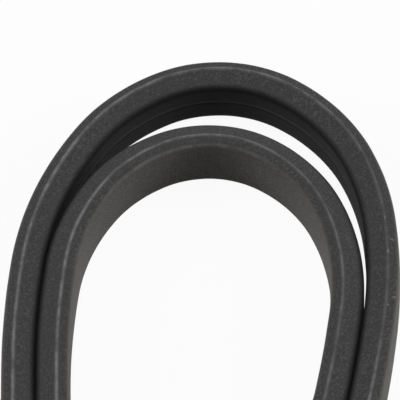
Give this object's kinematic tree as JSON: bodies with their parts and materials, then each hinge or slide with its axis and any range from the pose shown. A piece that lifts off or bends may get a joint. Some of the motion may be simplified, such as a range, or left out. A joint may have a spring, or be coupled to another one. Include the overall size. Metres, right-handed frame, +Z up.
{
  "type": "wrapped v-belt",
  "caption": "Endless fabric-covered V-belt with sloped flanks and crowned back, folded with its bases together and bent into a horseshoe.",
  "frame": {"origin": "Centre of the bounding box in plan, on the plane that the belt's lower parting rib rests on.", "axes": "+Z up, along the belt's width as it lies on its side; +Y from the two end loops towards the top of the horseshoe; +X to the right as the picture shows it."},
  "size_m": [0.1208, 0.1962, 0.017],
  "materials": {
    "cover_fabric": "matte rubberised cotton-polyester cloth, worn to a soft grey bloom",
    "inner_fabric": "matte rubber-soaked cloth",
    "cushion_rubber": "matte black rubber",
    "adhesion_gum": "matte soft gum",
    "tensile_cord": "twisted polyester cord, dipped",
    "fibre_rubber": "rubber with short cross fibres",
    "core_rubber": "matte black rubber"
  },
  "bodies": {
    "root": {"cover_outer_ply": "cover_fabric", "cover_inner_ply": "inner_fabric", "top_cushion": "cushion_rubber", "upper_gum": "adhesion_gum", "cord_s_twist": "tensile_cord", "cord_z_twist": "tensile_cord", "lower_gum": "adhesion_gum", "cross_fibre_layer": "fibre_rubber", "base_core": "core_rubber"}
  },
  "joints": []
}
